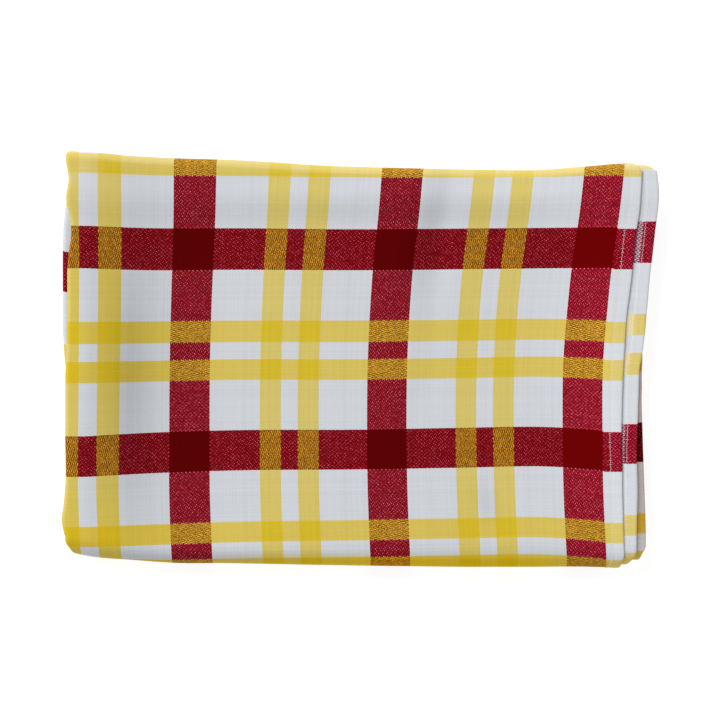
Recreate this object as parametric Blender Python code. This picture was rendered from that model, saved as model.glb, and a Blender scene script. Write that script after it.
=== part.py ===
"""A tablecloth folded for the shelf: one woven sheet lying in sixteen layers.

The cloth is folded crosswise into quarters, which makes a strip of four layers. The strip
is then folded lengthwise into quarters, which makes four panels. So the solid is one
back-and-forth section of four layers, carried along a back-and-forth path of four panels.

Layers of the strip, from its outer side: the first ends in a hem at the right, the second
ends in a hem that sticks out past the first, and the third and fourth are joined by a fold
at the right. An outer fold at the left joins the first to the fourth, and an inner fold
there joins the second to the third.

Panels, in the order of the path: the bottom one, then round the front fold to the top one,
then round the back fold to the second one, then round the inner front fold to the third.

Frame: metres, +Z up, +X along the folded cloth towards its hems, +Y towards the back fold.
The origin is in the middle of the underside.
"""

import collections
import math

import bmesh
import bpy
import numpy as np

CLOTH_NAME = "tablecloth"

# The sheet and the distance between its layers.
SHEET_THICKNESS = 0.0010
LAYER_PITCH = 0.00135
PANEL_GAP = 0.0004

STRIP_THICKNESS = 3.0 * LAYER_PITCH + SHEET_THICKNESS
PANEL_PITCH = STRIP_THICKNESS + PANEL_GAP

# Where the four layers lie off the middle of the strip, with its outer side positive.
FIRST_LAYER = 1.5 * LAYER_PITCH
SECOND_LAYER = 0.5 * LAYER_PITCH
THIRD_LAYER = -0.5 * LAYER_PITCH
FOURTH_LAYER = -1.5 * LAYER_PITCH

# The height of the middle of each panel above the surface that the cloth lies on.
BOTTOM_PANEL = 0.5 * STRIP_THICKNESS
THIRD_PANEL = BOTTOM_PANEL + PANEL_PITCH
SECOND_PANEL = BOTTOM_PANEL + 2.0 * PANEL_PITCH
TOP_PANEL = BOTTOM_PANEL + 3.0 * PANEL_PITCH

# The outermost radius of the two folds that show.
FRONT_FOLD_RADIUS = 0.5 * (3.0 * PANEL_PITCH + STRIP_THICKNESS)
BACK_FOLD_RADIUS = 0.5 * (PANEL_PITCH + STRIP_THICKNESS)

# The inner folds lie a little inside the folds that wrap them, and the two free ends stop
# short of the middle of the back fold.
INNER_LEFT_INSET = 0.0012
INNER_FRONT_INSET = 0.0015
BOTTOM_END_SETBACK = 0.0010
THIRD_END_SETBACK = 0.0016

# Round the wide front fold each layer needs more cloth than the one inside it, so at the
# free end of the bottom panel it lies back by a half turn of the distance between them.
BOTTOM_END_LAG = math.pi

# The slow swell of the stack's height: its share of the height, and its wave lengths.
SWELL_SHARE = 0.035
SWELL_LENGTH_X = 0.260
SWELL_LENGTH_Y = 0.310
SWELL_START = 0.6

# How finely each fold is cut, and the places across the cloth where every layer has a point.
OUTER_LEFT_SEGMENTS = 6
SMALL_FOLD_SEGMENTS = 4
PANEL_FOLD_SEGMENTS = 6
LAYER_PLACES = (-0.165, -0.125, -0.080, -0.035, 0.010, 0.055, 0.100, 0.143)

# The left and right ends of the folded cloth along the path. The place counts stretches:
# 0 to 1 is the bottom panel, 1 to 2 the front fold, 2 to 3 the top panel, 3 to 4 the back
# fold, 4 to 5 the second panel, 5 to 6 the inner front fold, and 6 to 7 the third panel.
END_COLUMNS = ("place", "left_fold", "first_hem", "second_hem", "right_fold")
END_ROWS = (
    (0.00, -0.1760, 0.1570, 0.1650, 0.1680),
    (0.50, -0.1780, 0.1550, 0.1630, 0.1680),
    (1.00, -0.1740, 0.1520, 0.1605, 0.1660),
    (1.50, -0.1700, 0.1550, 0.1635, 0.1690),
    (2.00, -0.1785, 0.1610, 0.1695, 0.1738),
    (2.06, -0.1818, 0.1606, 0.1690, 0.1740),
    (2.15, -0.1812, 0.1600, 0.1690, 0.1737),
    (2.28, -0.1800, 0.1598, 0.1692, 0.1725),
    (2.40, -0.1803, 0.1600, 0.1708, 0.1718),
    (2.53, -0.1804, 0.1612, 0.1727, 0.1714),
    (2.63, -0.1784, 0.1630, 0.1742, 0.1714),
    (2.77, -0.1775, 0.1665, 0.1772, 0.1720),
    (2.88, -0.1766, 0.1693, 0.1803, 0.1728),
    (2.94, -0.1786, 0.1706, 0.1812, 0.1730),
    (3.00, -0.1780, 0.1712, 0.1804, 0.1728),
    (3.50, -0.1792, 0.1650, 0.1735, 0.1690),
    (4.00, -0.1788, 0.1580, 0.1670, 0.1660),
    (4.08, -0.1810, 0.1570, 0.1655, 0.1655),
    (4.25, -0.1814, 0.1560, 0.1640, 0.1655),
    (4.44, -0.1812, 0.1555, 0.1640, 0.1660),
    (4.55, -0.1780, 0.1550, 0.1640, 0.1665),
    (5.00, -0.1760, 0.1545, 0.1640, 0.1670),
    (5.50, -0.1745, 0.1530, 0.1620, 0.1650),
    (6.00, -0.1750, 0.1515, 0.1610, 0.1640),
    (7.00, -0.1770, 0.1540, 0.1630, 0.1650),
)

# How far the folded cloth reaches to its front and back folds, from its left to its right.
REACH_COLUMNS = ("across", "front", "back")
REACH_ROWS = (
    (-0.182, -0.1160, 0.1268),
    (-0.165, -0.1188, 0.1262),
    (-0.140, -0.1215, 0.1244),
    (-0.112, -0.1228, 0.1222),
    (-0.060, -0.1235, 0.1198),
    (-0.024, -0.1242, 0.1182),
    (0.024, -0.1249, 0.1163),
    (0.067, -0.1250, 0.1156),
    (0.104, -0.1250, 0.1171),
    (0.140, -0.1256, 0.1191),
    (0.162, -0.1262, 0.1202),
    (0.182, -0.1264, 0.1206),
)

# The places along each panel where a section of the strip is set.
BOTTOM_PANEL_PLACES = (0.0, 0.33, 0.67, 1.0)
TOP_PANEL_PLACES = (2.0, 2.06, 2.15, 2.28, 2.40, 2.53, 2.63, 2.75, 2.88, 2.94, 3.0)
SECOND_PANEL_PLACES = (4.0, 4.08, 4.25, 4.44, 4.55, 5.0)
THIRD_PANEL_PLACES = (6.0, 6.5, 7.0)

CLOTH_COLOR = (0.80, 0.74, 0.66, 1.0)
CLOTH_ROUGHNESS = 0.85

# A point of the strip's section: how far it lies along X from the named end, its offset
# from the strip's middle, and the sheet's normal.
SectionPoint = collections.namedtuple("SectionPoint", "end past offset normal_x normal_out")

# A section's place on the path: its share of the way from the front fold to the back fold,
# how far it lies past there, its height, the strip's outer side, and its free end's lag.
Station = collections.namedtuple("Station", "place share past height normal_y normal_z lag")


def clear_scene():
    for obj in list(bpy.data.objects):
        bpy.data.objects.remove(obj)


def read_smoothly(columns, rows, name, at):
    """One column of a table at the place asked for, on a smooth curve through its rows."""
    table = np.array(rows)
    places = table[:, 0]
    values = table[:, columns.index(name)]
    slopes = np.gradient(values, places)
    at = np.clip(at, places[0], places[-1])
    row = np.clip(np.searchsorted(places, at) - 1, 0, len(places) - 2)
    step = places[row + 1] - places[row]
    part = (at - places[row]) / step
    ease = part * part * (3.0 - 2.0 * part)
    start_bow = part * (1.0 - part) ** 2 * step * slopes[row]
    end_bow = part * part * (part - 1.0) * step * slopes[row + 1]
    return values[row] * (1.0 - ease) + values[row + 1] * ease + start_bow + end_bow


def flat_layer(right_end, offset, inset, towards_right):
    """One layer of the strip. Its normal turns over where the sheet runs towards the right."""
    normal_out = -1.0 if towards_right else 1.0
    points = [SectionPoint("left_fold", inset, offset, 0.0, normal_out)]
    points += [SectionPoint("middle", place, offset, 0.0, normal_out) for place in LAYER_PLACES]
    points += [SectionPoint(right_end, 0.0, offset, 0.0, normal_out)]
    return points if towards_right else points[::-1]


def layer_fold(end, upper, lower, segments, inset, outward):
    """The half turn between two layers, from the upper to the lower, without its two ends.

    It bulges to the side of the named end, and the inset moves it along X. Outward is 1
    where the sheet's normal points away from the fold's middle.
    """
    side = -1.0 if end == "left_fold" else 1.0
    middle = 0.5 * (upper + lower)
    radius = 0.5 * (upper - lower)
    points = []
    for step in range(1, segments):
        angle = math.pi * (0.5 - step / segments)
        along = side * math.cos(angle)
        out = math.sin(angle)
        past = radius * along + inset
        points.append(SectionPoint(end, past, middle + radius * out, outward * along, outward * out))
    return points


def strip_section():
    """The middle line of the strip's four layers, from the first hem to the second."""
    outer_left = layer_fold("left_fold", FIRST_LAYER, FOURTH_LAYER, OUTER_LEFT_SEGMENTS, 0.0, 1.0)
    right = layer_fold("right_fold", THIRD_LAYER, FOURTH_LAYER, SMALL_FOLD_SEGMENTS, 0.0, 1.0)
    inner_left = layer_fold(
        "left_fold", SECOND_LAYER, THIRD_LAYER, SMALL_FOLD_SEGMENTS, INNER_LEFT_INSET, -1.0
    )
    return (
        flat_layer("first_hem", FIRST_LAYER, 0.0, towards_right=False)
        + outer_left
        + flat_layer("right_fold", FOURTH_LAYER, 0.0, towards_right=True)
        + right[::-1]
        + flat_layer("right_fold", THIRD_LAYER, INNER_LEFT_INSET, towards_right=False)
        + inner_left[::-1]
        + flat_layer("second_hem", SECOND_LAYER, INNER_LEFT_INSET, towards_right=True)
    )


def flat_panel(places, front_place, height, outer_side, inset, setback, lag):
    """The stations of one panel. The front place is where the panel meets its front fold."""
    stations = []
    for place in places:
        share = abs(place - front_place)
        past = (1.0 - share) * inset - share * setback
        stations.append(Station(place, share, past, height, 0.0, outer_side, share * lag))
    return stations


def panel_fold(first_place, share, lower, upper, inset, start, turn, outward):
    """The stations of the half turn between two panels, without its two ends.

    The angle starts at a quarter turn below or above level and sweeps a half turn either
    way. Outward is 1 where the strip's outer side points away from the fold's middle.
    """
    middle = 0.5 * (lower + upper)
    radius = 0.5 * (upper - lower)
    stations = []
    for step in range(1, PANEL_FOLD_SEGMENTS):
        part = step / PANEL_FOLD_SEGMENTS
        angle = start + turn * part
        past = radius * math.cos(angle) + inset
        height = middle + radius * math.sin(angle)
        normal_y = outward * math.cos(angle)
        normal_z = outward * math.sin(angle)
        stations.append(Station(first_place + part, share, past, height, normal_y, normal_z, 0.0))
    return stations


def path_stations():
    """Every section along the path, from the bottom panel's free end to the third panel's."""
    quarter = 0.5 * math.pi
    half = math.pi
    return (
        flat_panel(BOTTOM_PANEL_PLACES, 1.0, BOTTOM_PANEL, -1.0, 0.0, BOTTOM_END_SETBACK, BOTTOM_END_LAG)
        + panel_fold(1.0, 0.0, BOTTOM_PANEL, TOP_PANEL, 0.0, -quarter, -half, 1.0)
        + flat_panel(TOP_PANEL_PLACES, 2.0, TOP_PANEL, 1.0, 0.0, 0.0, 0.0)
        + panel_fold(3.0, 1.0, SECOND_PANEL, TOP_PANEL, 0.0, quarter, -half, 1.0)
        + flat_panel(SECOND_PANEL_PLACES, 5.0, SECOND_PANEL, -1.0, INNER_FRONT_INSET, 0.0, 0.0)
        + panel_fold(5.0, 0.0, THIRD_PANEL, SECOND_PANEL, INNER_FRONT_INSET, quarter, half, -1.0)
        + flat_panel(THIRD_PANEL_PLACES, 6.0, THIRD_PANEL, 1.0, INNER_FRONT_INSET, THIRD_END_SETBACK, 0.0)
    )


def swell(across, along):
    """How many times its plain height the stack has at a place seen from above."""
    wave_x = math.cos(2.0 * math.pi * across / SWELL_LENGTH_X + SWELL_START)
    wave_y = math.sin(2.0 * math.pi * along / SWELL_LENGTH_Y)
    return 1.0 + 0.5 * SWELL_SHARE * (wave_x + wave_y)


def ends_at(place):
    """The X of the middle of the left fold, of the two hems and of the middle of the right fold."""
    ends = {name: float(read_smoothly(END_COLUMNS, END_ROWS, name, place)) for name in END_COLUMNS[1:]}
    ends["left_fold"] += FIRST_LAYER + 0.5 * SHEET_THICKNESS
    ends["right_fold"] -= 0.5 * (LAYER_PITCH + SHEET_THICKNESS)
    ends["middle"] = 0.0
    return ends


def sheet_point(point, side, station, ends):
    """Where one side of the sheet lies: half a thickness along its normal, on its station."""
    half = side * 0.5 * SHEET_THICKNESS
    across = ends[point.end] + point.past + half * point.normal_x
    out = point.offset + half * point.normal_out
    front = read_smoothly(REACH_COLUMNS, REACH_ROWS, "front", across) + FRONT_FOLD_RADIUS
    back = read_smoothly(REACH_COLUMNS, REACH_ROWS, "back", across) - BACK_FOLD_RADIUS
    along = front + station.share * (back - front) + station.past + out * station.normal_y
    along -= station.lag * (out - FOURTH_LAYER)
    height = (station.height + out * station.normal_z) * swell(across, along)
    return across, along, height


def sheet_points():
    """The sheet's corner points as an array: station, point of the section, side, XYZ."""
    section = strip_section()
    rings = []
    for station in path_stations():
        ends = ends_at(station.place)
        rings.append([[sheet_point(point, side, station, ends) for side in (1.0, -1.0)] for point in section])
    return np.array(rings)


def centred_on_underside(points):
    """The points moved so that the middle of their box's underside is the origin."""
    low = points.min(axis=(0, 1, 2))
    high = points.max(axis=(0, 1, 2))
    return points - np.array([0.5 * (low[0] + high[0]), 0.5 * (low[1] + high[1]), low[2]])


def sheet_mesh(points):
    """A closed mesh on the two sides of the sheet, its two hems and its two free ends."""
    stations, count = points.shape[:2]
    shape = bmesh.new()
    corners = [
        [[shape.verts.new(points[i, k, side]) for side in range(2)] for k in range(count)]
        for i in range(stations)
    ]
    for here, ahead in zip(corners, corners[1:]):
        for k in range(count - 1):
            for side in range(2):
                shape.faces.new((here[k][side], here[k + 1][side], ahead[k + 1][side], ahead[k][side]))
        for k in (0, count - 1):
            shape.faces.new((here[k][0], ahead[k][0], ahead[k][1], here[k][1]))
    for ring in (corners[0], corners[-1]):
        for k in range(count - 1):
            shape.faces.new((ring[k][0], ring[k + 1][0], ring[k + 1][1], ring[k][1]))
    bmesh.ops.recalc_face_normals(shape, faces=shape.faces)
    mesh = bpy.data.meshes.new(CLOTH_NAME)
    shape.to_mesh(mesh)
    shape.free()
    return mesh


def cloth_material():
    material = bpy.data.materials.new("woven_cloth")
    material.use_nodes = True
    shader = material.node_tree.nodes["Principled BSDF"]
    shader.inputs["Base Color"].default_value = CLOTH_COLOR
    shader.inputs["Roughness"].default_value = CLOTH_ROUGHNESS
    shader.inputs["Metallic"].default_value = 0.0
    return material


def main():
    clear_scene()
    collection = bpy.data.collections.new("folded_tablecloth")
    bpy.context.scene.collection.children.link(collection)
    mesh = sheet_mesh(centred_on_underside(sheet_points()))
    mesh.materials.append(cloth_material())
    cloth = bpy.data.objects.new(CLOTH_NAME, mesh)
    collection.objects.link(cloth)


main()
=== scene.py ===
"""The looks of a folded check tablecloth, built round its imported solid.

One woven sheet is folded crosswise into a strip of four layers, and the strip is folded
lengthwise into four panels. The sheet is a surface of two parameters: u counts seven
stretches across the strip, from the first hem to the second, and v counts seven along it,
from the bottom panel to the third. At whole numbers a flat stretch and a fold meet.

Metres, +Z up, +X towards the hems, +Y towards the back fold.
"""

import math
from functools import partialmethod

import bpy
import numpy as np
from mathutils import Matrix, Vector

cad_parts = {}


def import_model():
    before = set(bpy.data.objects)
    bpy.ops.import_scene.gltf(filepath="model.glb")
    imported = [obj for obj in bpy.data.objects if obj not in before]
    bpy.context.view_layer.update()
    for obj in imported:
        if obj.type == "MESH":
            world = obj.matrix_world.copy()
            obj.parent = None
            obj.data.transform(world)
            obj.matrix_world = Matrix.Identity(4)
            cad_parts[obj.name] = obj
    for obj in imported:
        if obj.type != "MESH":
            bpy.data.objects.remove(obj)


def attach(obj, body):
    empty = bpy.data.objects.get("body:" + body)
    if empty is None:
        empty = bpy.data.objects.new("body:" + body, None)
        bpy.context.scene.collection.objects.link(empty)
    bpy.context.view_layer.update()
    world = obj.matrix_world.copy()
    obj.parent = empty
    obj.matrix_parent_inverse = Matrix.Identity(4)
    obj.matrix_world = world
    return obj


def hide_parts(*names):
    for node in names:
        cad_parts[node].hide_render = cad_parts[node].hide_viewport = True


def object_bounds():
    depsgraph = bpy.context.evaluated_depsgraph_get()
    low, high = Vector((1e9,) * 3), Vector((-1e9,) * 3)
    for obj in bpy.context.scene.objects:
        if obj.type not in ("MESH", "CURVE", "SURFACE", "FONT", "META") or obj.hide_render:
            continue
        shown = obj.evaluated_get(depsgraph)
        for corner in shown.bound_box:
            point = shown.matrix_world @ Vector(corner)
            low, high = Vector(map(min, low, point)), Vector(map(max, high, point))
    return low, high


CLOTH_NODE = "tablecloth"


def table(names, *rows):
    """A table's columns by name, each as an array."""
    return dict(zip(names, np.array(rows, float).T))


def curves(names, *rows):
    """A table of lengths, which the rows give in tenths of a millimetre and the table in
    metres. The first column is where each row holds, and stays as it is."""
    rows = np.array(rows, float)
    rows[:, 1:] /= 10000.0
    return table(names, *rows)


# ----
# Sizes of the solid that the sheet follows.

SOLID_THICKNESS = 0.0010
LAYER_PITCH = 0.00135
PANEL_GAP = 0.0004
STRIP_THICKNESS = 3.0 * LAYER_PITCH + SOLID_THICKNESS
PANEL_PITCH = STRIP_THICKNESS + PANEL_GAP

FIRST_LAYER = 1.5 * LAYER_PITCH
SECOND_LAYER = 0.5 * LAYER_PITCH
THIRD_LAYER = -0.5 * LAYER_PITCH
FOURTH_LAYER = -1.5 * LAYER_PITCH

BOTTOM_PANEL = 0.5 * STRIP_THICKNESS
THIRD_PANEL = BOTTOM_PANEL + PANEL_PITCH
SECOND_PANEL = BOTTOM_PANEL + 2.0 * PANEL_PITCH
TOP_PANEL = BOTTOM_PANEL + 3.0 * PANEL_PITCH
STACK_HEIGHT = TOP_PANEL + 0.5 * STRIP_THICKNESS

FRONT_FOLD_RADIUS = 0.5 * (3.0 * PANEL_PITCH + STRIP_THICKNESS)
BACK_FOLD_RADIUS = 0.5 * (PANEL_PITCH + STRIP_THICKNESS)

INNER_LEFT_INSET = 0.0012
INNER_FRONT_INSET = 0.0015
BOTTOM_END_SETBACK = 0.0010
THIRD_END_SETBACK = 0.0016
# An outer layer runs further round the front fold, so it ends sooner on the bottom panel.
BOTTOM_END_LAG = math.pi
# From the folded cloth's own middle to the frame's.
CENTRE_SHIFT = (0.000183, -0.000205)

SWELL_SHARE = 0.035
SWELL_LENGTH_X = 0.260
SWELL_LENGTH_Y = 0.310
SWELL_START = 0.6

# The ends of the folded cloth along the strip, by the same count as v.
ENDS = curves(
    ("place", "left_fold", "first_hem", "second_hem", "right_fold"),
    (0.00, -1760, 1570, 1650, 1680),
    (0.50, -1780, 1550, 1630, 1680),
    (1.00, -1740, 1520, 1605, 1660),
    (1.50, -1768, 1577, 1627, 1708),
    (1.65, -1779, 1592, 1647, 1716),
    (1.80, -1799, 1605, 1674, 1725),
    (1.88, -1806, 1609, 1685, 1735),
    (2.00, -1810, 1612, 1689, 1747),
    (2.03, -1825, 1611, 1688, 1747),
    (2.08, -1811, 1605, 1690, 1745),
    (2.12, -1804, 1602, 1691, 1742),
    (2.28, -1804, 1597, 1691, 1729),
    (2.354, -1802, 1597, 1694, 1724),
    (2.40, -1801, 1597, 1698, 1721),
    (2.43, -1802, 1600, 1700, 1723),
    (2.457, -1800, 1602, 1702, 1722),
    (2.485, -1798, 1606, 1706, 1724),
    (2.51, -1795, 1609, 1719, 1726),
    (2.56, -1792, 1617, 1737, 1718),
    (2.63, -1789, 1630, 1748, 1715),
    (2.75, -1783, 1662, 1776, 1719),
    (2.80, -1768, 1675, 1790, 1722),
    (2.85, -1773, 1688, 1804, 1726),
    (2.89, -1796, 1704, 1815, 1729),
    (2.95, -1782, 1714, 1821, 1730),
    (3.00, -1799, 1717, 1813, 1728),
    (3.08, -1799, 1710, 1800, 1722),
    (3.50, -1797, 1650, 1735, 1690),
    (4.00, -1770, 1580, 1670, 1660),
    (4.08, -1778, 1570, 1655, 1655),
    (4.136, -1812, 1565, 1650, 1655),
    (4.18, -1819, 1562, 1645, 1655),
    (4.25, -1821, 1560, 1640, 1655),
    (4.44, -1821, 1555, 1640, 1660),
    (4.495, -1820, 1552, 1640, 1662),
    (4.52, -1811, 1551, 1640, 1664),
    (4.56, -1809, 1551, 1640, 1664),
    (4.59, -1795, 1550, 1640, 1665),
    (4.63, -1788, 1550, 1640, 1665),
    (5.00, -1760, 1545, 1640, 1670),
    (5.50, -1745, 1530, 1620, 1650),
    (6.00, -1750, 1515, 1610, 1640),
    (7.00, -1770, 1540, 1630, 1650),
)

# How far the folded cloth reaches to its front and back folds, from its left to its right.
REACH = curves(
    ("place", "front", "back"),
    (-0.182, -1168, 1282),
    (-0.165, -1203, 1275),
    (-0.140, -1224, 1252),
    (-0.112, -1243, 1236),
    (-0.085, -1244, 1228),
    (-0.060, -1248, 1216),
    (-0.024, -1255, 1192),
    (0.024, -1262, 1177),
    (0.067, -1267, 1167),
    (0.086, -1267, 1164),
    (0.104, -1267, 1163),
    (0.140, -1266, 1188),
    (0.162, -1274, 1206),
    (0.182, -1272, 1206),
)

# The strip's flat stretches in the order of u. The right end is one of RIGHT_ENDS.
FLATS = table(
    ("offset", "left_inset", "runs_right", "right_end"),
    (FIRST_LAYER, 0, 0, 0),
    (FOURTH_LAYER, 0, 1, 2),
    (THIRD_LAYER, INNER_LEFT_INSET, 0, 2),
    (SECOND_LAYER, INNER_LEFT_INSET, 1, 1),
)
RIGHT_ENDS = ("first_hem", "second_hem", "right_fold")

# The strip's folds in the order of u: the outer left, the right and the inner left.
LAYER_FOLDS = table(
    ("upper", "lower", "side", "turn", "outward", "inset"),
    (FIRST_LAYER, FOURTH_LAYER, -1, -1, 1, 0),
    (THIRD_LAYER, FOURTH_LAYER, 1, 1, 1, 0),
    (SECOND_LAYER, THIRD_LAYER, -1, 1, -1, INNER_LEFT_INSET),
)

# The panels in the order of v, and the folds between them: front, back and inner front.
PANELS = table(
    ("height", "normal_z", "runs_back", "front_past", "end_past", "lag"),
    (BOTTOM_PANEL, -1, 0, 0, -BOTTOM_END_SETBACK, BOTTOM_END_LAG),
    (TOP_PANEL, 1, 1, 0, 0, 0),
    (SECOND_PANEL, -1, 0, INNER_FRONT_INSET, 0, 0),
    (THIRD_PANEL, 1, 1, INNER_FRONT_INSET, -THIRD_END_SETBACK, 0),
)
PANEL_FOLDS = table(
    ("lower", "upper", "share", "start", "turn", "outward", "inset"),
    (BOTTOM_PANEL, TOP_PANEL, 0, -0.5, -1, 1, 0),
    (SECOND_PANEL, TOP_PANEL, 1, 0.5, -1, 1, 0),
    (THIRD_PANEL, SECOND_PANEL, 0, 0.5, 1, -1, INNER_FRONT_INSET),
)

# ----
# What the sheet adds to the solid.

FLAT_SIZE = (1.40, 0.95)
PANEL_LENGTH = 0.25 * FLAT_SIZE[1]
HALF_THICKNESS = 0.00040
HEM_WIDTH = 0.0077
HEM_EXTRA = 0.00060
HEM_NOSE = 0.00085
HEM_STEP = 0.0009
LONG_HEM_FULLNESS = 0.20
HIDDEN_HEM_FULLNESS = 0.30
SECOND_HEM_FULLNESS = 0.40
FIRST_HEM_LIFT = 0.00005
FIRST_HEM_LIFT_FADE = (0.004, 0.020)
THINNEST_EDGE = 0.02
NO_EDGE = 1.0
FARTHEST_EDGE = 0.05

# How far the edges wander, in metres, and where their sines start.
LEFT_WOBBLE = (0.00020, 0.4)
FIRST_HEM_WOBBLE = (0.00022, 1.7)
SECOND_HEM_WOBBLE = (0.00025, 2.9)

# The parts of v that show from above and where the folds carry painted sheen and shade, the
# part of u that droops at the right, and the middle of the right fold in u.
TOP_PART = (1.6, 3.4)
PAINTED_FOLD_PART = (1.4, 3.6)
DROOPING_PART = (1.5, 5.5)
RIGHT_FOLD_MIDDLE = 3.5

# The grid's lines at a hem, in metres from the edge, and how many lines the first stretch,
# the five between and the last have.
SHORT_HEM_LINES = (0.0, 0.00015, 0.0004, 0.0009, 0.0018, 0.0030, 0.0042, 0.0056) + (
    0.0068, 0.0073, 0.0077, 0.0081, 0.0087, 0.0095, 0.0108, 0.0125)
HEM_LINE_LENGTH = 0.340
LAYER_LINES = (119, (11, 23, 8, 23, 7), 21)
LONG_HEM_LINES = (0.0, 0.00015, 0.0004, 0.0009, 0.0030, 0.0068, 0.0077, 0.0087)
PANEL_LINES = (18, (19, 85, 13, 18, 8), 17)

# The front right corner is looser than the solid's. The deeper a layer lies in the strip,
# from 0 to 1, the further back it is tucked, and the inner fold most of all.
CORNER_PART = (0.118, 0.166)
CORNER_DEPTHS = (0.0, 0.3333, 0.6667, 1.0)
CORNER_TUCKS = (0.0, 0.0020, 0.0026, 0.0042)
INNER_FOLD_TUCK = 0.0076

# Past this X the lower layers of the top panel droop. It comes in over this part of v.
DROOP_START = 0.1665
DROOP_END = 0.1745
DROOP = 0.0022
DROOP_FADE = (1.75, 2.15)

# Soft ridges and troughs of the stack's top: middle, half widths, turn to the left in
# degrees, and height. Each is a bell that fades out at about twice its half widths.
BELL = ("across", "along", "half_across", "half_along", "turn", "height")
RELIEF = table(
    BELL,
    (-0.168, -0.010, 0.010, 0.110, 0, 0.0015),
    (-0.133, -0.022, 0.013, 0.060, 2, -0.0021),
    (-0.110, -0.030, 0.024, 0.070, 0, -0.0011),
    (0.000, 0.099, 0.170, 0.011, 0, 0.0014),
    (0.047, 0.073, 0.011, 0.036, -12, -0.0017),
    (0.024, 0.072, 0.013, 0.040, -12, 0.0009),
    (0.079, -0.089, 0.008, 0.014, 20, -0.0009),
    (0.155, -0.010, 0.009, 0.090, 5, 0.0008),
    (0.118, -0.030, 0.016, 0.060, 4, -0.0006),
    (-0.060, 0.030, 0.030, 0.024, 30, 0.0004),
    (0.020, -0.075, 0.040, 0.016, -8, 0.0004),
    (-0.090, -0.098, 0.030, 0.010, 6, -0.0005),
)

# How far the woven stripes lie off straight lines: to the right for the warp's, and to the
# back for the weft's. Each row gives its Y, and then the shift at each X of the first line.
LEANS = curves(
    ("place", -0.1720, -0.1480, -0.1040, -0.0450, 0.0165, 0.0770, 0.1363),
    (-0.1220, -19, -4, 10, 17, 19, 18, 15),
    (-0.0800, -35, -19, -5, 2, 2, -2, -5),
    (-0.0450, -34, -16, -6, 0, -3, -10, -10),
    (0.0000, -30, -11, -3, 3, 2, -5, -6),
    (0.0350, -29, -5, 6, 16, 19, 15, 23),
    (0.0600, -28, -4, 15, 29, 38, 40, 50),
    (0.0900, -31, -3, 25, 49, 70, 80, 93),
    (0.1220, -31, -6, 28, 64, 95, 113, 129),
)
RISES = curves(
    ("place", -0.1680, -0.1300, -0.0750, 0.0000, 0.0600, 0.1150, 0.1500),
    (-0.1100, -25, -13, 6, 18, 29, 34, 8),
    (-0.0640, -35, -14, 5, 11, 21, 28, 5),
    (-0.0420, -31, -11, 6, 9, 20, 25, 3),
    (-0.0050, -25, -18, -7, -7, 2, 10, -3),
    (0.0280, -4, -3, 2, 2, 6, 12, 3),
    (0.0620, 9, -4, -2, -6, 0, 6, 10),
    (0.0900, 25, 12, 9, 2, 5, 9, 12),
    (0.1130, 26, 11, 5, -4, -5, -1, 9),
)
# How much further forward the weft stripes lie on the lower layers, by u.
LAYER_RISE_ALONG_U = ((2.0, 0.0), (3.0, 0.0052), (4.0, 0.0051), (6.0, 0.0046))
# The cloth slips along its hems: the first by this much inside its stitches, and the
# second by these amounts at these Y, which come in over this part of u.
HEM_SLIP = 0.0009
HEM_SLIP_FADE = (0.0115, 0.0130)
SECOND_HEM_PLACES = (-0.110, -0.039, -0.008, 0.005, 0.016, 0.029, 0.060, 0.085, 0.115)
SECOND_HEM_SLIPS = (0.0, 0.0004, 0.0018, 0.0010, 0.0006, 0.0006, 0.0016, 0.0010, 0.0010)
SECOND_HEM_SLIP_RISE = (4.0, 6.0)
# How far the warp stripes lie to the right past the back fold, and where by v it comes in.
BACK_FOLD_LEAN = 0.0022
BACK_FOLD_LEAN_RISE = (3.2, 4.0)
# How much cloth the back fold takes up, by u: less on the layers inside it.
BACK_FOLD_PLACES = (1.0, 1.5, 3.0, 4.0, 5.0, 6.0)
BACK_FOLD_RUNS = (0.0150, 0.0026, 0.0026, 0.0066, 0.0066, 0.0109)

# Where the right fold, the second hem and the cloth's two ends lie on the flat cloth.
RIGHT_FOLD_PLACE = -0.5235
SECOND_HEM_PLACE = -1.2240
BOTTOM_END_PLACE = -0.3600
THIRD_END_PLACE = 0.5900

# Painted shading of the top layer: how much darker its colour is painted in its hollows, as
# painted shade. Less than 0 is painted lighter, as painted light.
PAINTED_SHADING_BELLS = table(
    BELL,
    (-0.141, -0.010, 0.015, 0.090, 0, 0.15),
    (0.000, 0.090, 0.200, 0.008, 0, 0.07),
    (0.0385, 0.030, 0.006, 0.080, -6, 0.06),
    (0.090, 0.1045, 0.030, 0.007, 0, -0.07),
    (0.070, -0.1165, 0.110, 0.005, 0, 0.08),
    (-0.131, -0.005, 0.030, 0.125, 0, 0.13),
    (0.042, 0.078, 0.010, 0.040, -10, 0.08),
    (0.079, -0.089, 0.007, 0.012, 20, 0.09),
    (0.152, -0.002, 0.034, 0.120, 4, -0.11),
)

# Painted shade: the dark groove painted beside the first hem, and the painted shade in the
# second hem's lee.
GROOVE_WIDTH = 0.0009
GROOVE_SHADE = 0.20
LEE_WIDTH = 0.0080
LEE_AT_FRONT = 0.45
LEE_RISE = (1.85, 2.12)

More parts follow.
